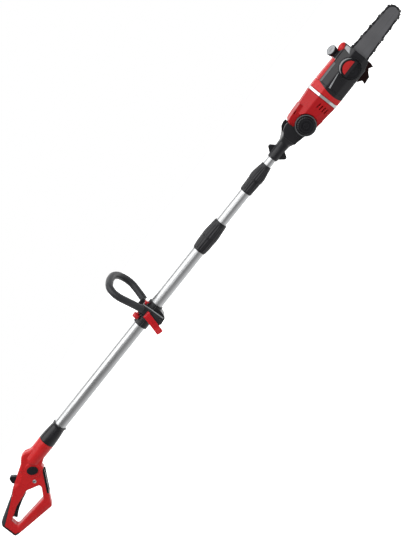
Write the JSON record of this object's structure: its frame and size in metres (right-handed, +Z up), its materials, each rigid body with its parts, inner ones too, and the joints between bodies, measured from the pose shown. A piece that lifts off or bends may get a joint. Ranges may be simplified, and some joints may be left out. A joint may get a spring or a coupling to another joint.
{
  "type": "telescoping pole saw",
  "caption": "Cordless telescoping pole saw: D-shaped rear handle with battery dock, locking aluminium pole, adjustable loop handle and tilting motor head with a detachable chainsaw end.",
  "frame": {"origin": "on the pole's axis, inside the rear handle's boss", "axes": "+X forward along the pole towards the saw, +Z up towards the loop handle, -Y the tool's right-hand side"},
  "size_m": [1.993, 0.1627, 0.3083],
  "materials": {
    "red_plastic": "moulded, satin",
    "lever_red": "moulded, satin",
    "black_plastic": "moulded, fine texture",
    "grip_rubber": "matte, soft touch",
    "foam_black": "matte",
    "aluminium": "satin, drawn",
    "ring_metal": "turned",
    "bar_steel": "brushed",
    "chain_steel": "oiled",
    "steel": "zinc plated",
    "cap_grey": "moulded",
    "copper_black": "dark, plain"
  },
  "bodies": {
    "rear_handle": {"handle_shell_right": "red_plastic", "handle_shell_left": "red_plastic", "grip_overmould": "grip_rubber", "butt_cap": "black_plastic", "boss_cap_right": "black_plastic", "boss_cap_left": "black_plastic", "strap_eyelet": "steel", "battery_rail": "black_plastic", "contact_block": "copper_black", "switch_module": "copper_black", "handle_screw_1": "steel", "handle_screw_2": "steel", "handle_screw_3": "steel", "trigger_pin": "steel", "trigger_spring": "steel", "lock_off_spring": "steel", "tube_sleeve": "black_plastic", "outer_tube": "aluminium", "coiled_lead": "foam_black", "collar_1_base": "black_plastic", "collet_1": "cap_grey"},
    "trigger": {"trigger": "black_plastic"},
    "lock_off": {"lock_off_button": "black_plastic"},
    "collar_1_turning": {"collar_1_nut": "black_plastic"},
    "mid_stage": {"mid_tube": "aluminium", "collar_2_base": "black_plastic", "collet_2": "cap_grey"},
    "collar_2_turning": {"collar_2_nut": "black_plastic"},
    "head_stage": {"head_tube": "aluminium", "yoke": "black_plastic", "pivot_pin": "steel"},
    "loop_clamp": {"clamp_upper": "black_plastic", "clamp_lower": "black_plastic", "clamp_bolt": "steel", "clamp_nut": "steel"},
    "tilt_lock": {"tilt_lock_bar": "lever_red"},
    "loop": {"loop_handle": "foam_black", "cam_pin": "steel"},
    "lever": {"cam_lever": "lever_red"},
    "tilt_button": {"tilt_button": "black_plastic"},
    "motor_unit": {"motor_shell_right": "red_plastic", "motor_shell_left": "red_plastic", "lock_ring": "ring_metal", "motor": "copper_black", "detent_ring": "steel"},
    "motor_rotor": {"motor_shaft": "steel"},
    "saw_attachment": {"attachment_collar": "red_plastic", "gear_housing": "black_plastic", "oil_tank": "red_plastic", "guide_bar": "bar_steel", "saw_chain": "chain_steel", "bar_stud": "steel", "bumper_spikes": "chain_steel"},
    "input_shaft": {"drive_pinion": "steel"},
    "sprocket_shaft": {"bevel_gear": "steel", "drive_sprocket": "steel"},
    "side_cover": {"sprocket_cover": "black_plastic"},
    "cover_knob": {"cover_knob": "black_plastic"},
    "filler_cap": {"oil_cap": "black_plastic"}
  },
  "joints": [
    {"name": "trigger_press", "type": "hinge", "parent": "rear_handle", "child": "trigger", "pos_m": [-0.08453, 0, -0.041], "axis": [0, 1, 0], "range_deg": [0, 4.5], "stiffness_Nm_per_rad": 1.5, "springref_deg": -4.58, "deforming": ["trigger_spring"]},
    {"name": "lock_off_press", "type": "slide", "parent": "rear_handle", "child": "lock_off", "axis": [0.3007, 0, -0.9537], "range_m": [0, 0.004], "stiffness_N_per_m": 500, "springref_m": -0.002, "deforming": ["lock_off_spring"]},
    {"name": "collar_1_turn", "type": "hinge", "parent": "rear_handle", "child": "collar_1_turning", "pos_m": [0.914, 0, 0], "axis": [1, 0, 0], "range_deg": [0, 120]},
    {"name": "mid_tube_slide", "type": "slide", "parent": "rear_handle", "child": "mid_stage", "axis": [1, 0, 0], "range_m": [-0.11, 0.5]},
    {"name": "collar_2_turn", "type": "hinge", "parent": "mid_stage", "child": "collar_2_turning", "pos_m": [1.1335, 0, 0], "axis": [1, 0, 0], "range_deg": [0, 120]},
    {"name": "head_tube_slide", "type": "slide", "parent": "mid_stage", "child": "head_stage", "axis": [1, 0, 0], "range_m": [-0.022, 0.42]},
    {"name": "clamp_slide", "type": "slide", "parent": "rear_handle", "child": "loop_clamp", "axis": [1, 0, 0], "range_m": [-0.38, 0.19]},
    {"name": "tilt_lock_press", "type": "slide", "parent": "loop_clamp", "child": "tilt_lock", "axis": [1, 0, 0], "range_m": [0, 0.0045], "stiffness_N_per_m": 600, "springref_m": -0.002},
    {"name": "loop_tilt", "type": "hinge", "parent": "loop_clamp", "child": "loop", "pos_m": [0.629, 0, -0.034], "axis": [0, 1, 0], "range_deg": [-40, 60]},
    {"name": "cam_lever_swing", "type": "hinge", "parent": "loop", "child": "lever", "pos_m": [0.62, -0.0395, 0.0093], "axis": [-1, 0, 0], "range_deg": [0, 110]},
    {"name": "tilt_button_press", "type": "slide", "parent": "head_stage", "child": "tilt_button", "axis": [0, 1, 0], "range_m": [0, 0.003], "stiffness_N_per_m": 900, "springref_m": -0.002},
    {"name": "head_tilt", "type": "hinge", "parent": "head_stage", "child": "motor_unit", "pos_m": [1.352, 0, -0.01], "axis": [0, 1, 0], "range_deg": [-45, 90]},
    {"name": "rotor_spin", "type": "hinge", "parent": "motor_unit", "child": "motor_rotor", "pos_m": [1.42, 0.012, -0.008], "axis": [1, 0, 0], "continuous": true},
    {"name": "attachment_release", "type": "slide", "parent": "motor_unit", "child": "saw_attachment", "axis": [1, 0, 0], "range_m": [0, 0.045]},
    {"name": "input_spin", "type": "hinge", "parent": "saw_attachment", "child": "input_shaft", "pos_m": [1.48, 0.012, -0.008], "axis": [1, 0, 0], "continuous": true},
    {"name": "sprocket_spin", "type": "hinge", "parent": "saw_attachment", "child": "sprocket_shaft", "pos_m": [1.508, 0, -0.008], "axis": [0, 1, 0], "continuous": true},
    {"name": "cover_release", "type": "slide", "parent": "saw_attachment", "child": "side_cover", "axis": [0, -1, 0], "range_m": [0, 0.035]},
    {"name": "cover_knob_turn", "type": "hinge", "parent": "side_cover", "child": "cover_knob", "pos_m": [1.5565, 0, -0.008], "axis": [0, 1, 0], "continuous": true},
    {"name": "cap_turn", "type": "hinge", "parent": "saw_attachment", "child": "filler_cap", "pos_m": [1.564, 0.001, 0.0545], "axis": [0, -0.4695, 0.8829], "range_deg": [0, 90]}
  ],
  "couplings": [
    {"joint": "rotor_spin", "follows": "sprocket_spin", "ratio": 2.5},
    {"joint": "input_spin", "follows": "sprocket_spin", "ratio": 2.5}
  ]
}
